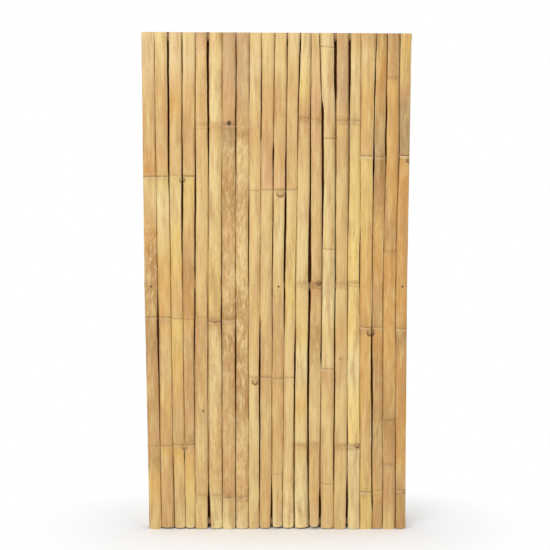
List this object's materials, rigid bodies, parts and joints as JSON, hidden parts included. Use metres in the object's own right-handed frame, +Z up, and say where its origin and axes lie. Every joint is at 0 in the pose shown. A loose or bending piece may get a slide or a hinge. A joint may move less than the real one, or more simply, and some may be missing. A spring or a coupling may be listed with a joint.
{
  "type": "bamboo fence panel",
  "caption": "Upright fence panel of split bamboo strips on both faces of round bamboo cross canes, with node rings and uneven narrow gaps.",
  "frame": {"origin": "under the middle of the panel, midway between its two faces, at the height of the lowest strip ends", "axes": "+Z up along the strips, the front face looks along -Y, +X to the right seen from the front"},
  "size_m": [0.948, 0.0608, 1.8002],
  "materials": {
    "bamboo_culm_a": "dry split bamboo, satin skin, split and weathered edges",
    "bamboo_culm_b": "dry split bamboo, satin skin, split and weathered edges",
    "bamboo_culm_c": "dry split bamboo, satin skin, split and weathered edges",
    "bamboo_culm_d": "dry split bamboo, satin skin, split and weathered edges",
    "bamboo_culm_e": "dry split bamboo, satin skin, split and weathered edges",
    "bamboo_culm_f": "dry split bamboo, satin skin, split and weathered edges",
    "bamboo_culm_g": "dry split bamboo, satin skin, split and weathered edges",
    "bamboo_rear": "dry split bamboo, satin skin",
    "bamboo_cane": "round bamboo cane, nodes shaved flush",
    "wire_nail": "browned steel wire nail"
  },
  "bodies": {
    "root": {"front_strip_01": "bamboo_culm_a", "front_strip_02": "bamboo_culm_a", "front_strip_03": "bamboo_culm_a", "front_strip_04": "bamboo_culm_a", "front_strip_05": "bamboo_culm_b", "front_strip_06": "bamboo_culm_b", "front_strip_07": "bamboo_culm_b", "front_strip_08": "bamboo_culm_b", "front_strip_09": "bamboo_culm_c", "front_strip_10": "bamboo_culm_c", "front_strip_11": "bamboo_culm_c", "front_strip_12": "bamboo_culm_c", "front_strip_13": "bamboo_culm_d", "front_strip_14": "bamboo_culm_d", "front_strip_15": "bamboo_culm_f", "front_strip_16": "bamboo_culm_d", "front_strip_17": "bamboo_culm_d", "front_strip_18": "bamboo_culm_e", "front_strip_19": "bamboo_culm_e", "front_strip_20": "bamboo_culm_g", "front_strip_21": "bamboo_culm_e", "back_strip_01": "bamboo_rear", "back_strip_02": "bamboo_rear", "back_strip_03": "bamboo_rear", "back_strip_04": "bamboo_rear", "back_strip_05": "bamboo_rear", "back_strip_06": "bamboo_rear", "back_strip_07": "bamboo_rear", "back_strip_08": "bamboo_rear", "back_strip_09": "bamboo_rear", "back_strip_10": "bamboo_rear", "back_strip_11": "bamboo_rear", "back_strip_12": "bamboo_rear", "back_strip_13": "bamboo_rear", "back_strip_14": "bamboo_rear", "back_strip_15": "bamboo_rear", "back_strip_16": "bamboo_rear", "back_strip_17": "bamboo_rear", "back_strip_18": "bamboo_rear", "back_strip_19": "bamboo_rear", "back_strip_20": "bamboo_rear", "back_strip_21": "bamboo_rear", "back_strip_22": "bamboo_rear", "rail_top": "bamboo_cane", "rail_middle": "bamboo_cane", "rail_bottom": "bamboo_cane", "front_nails": "wire_nail"}
  },
  "joints": []
}
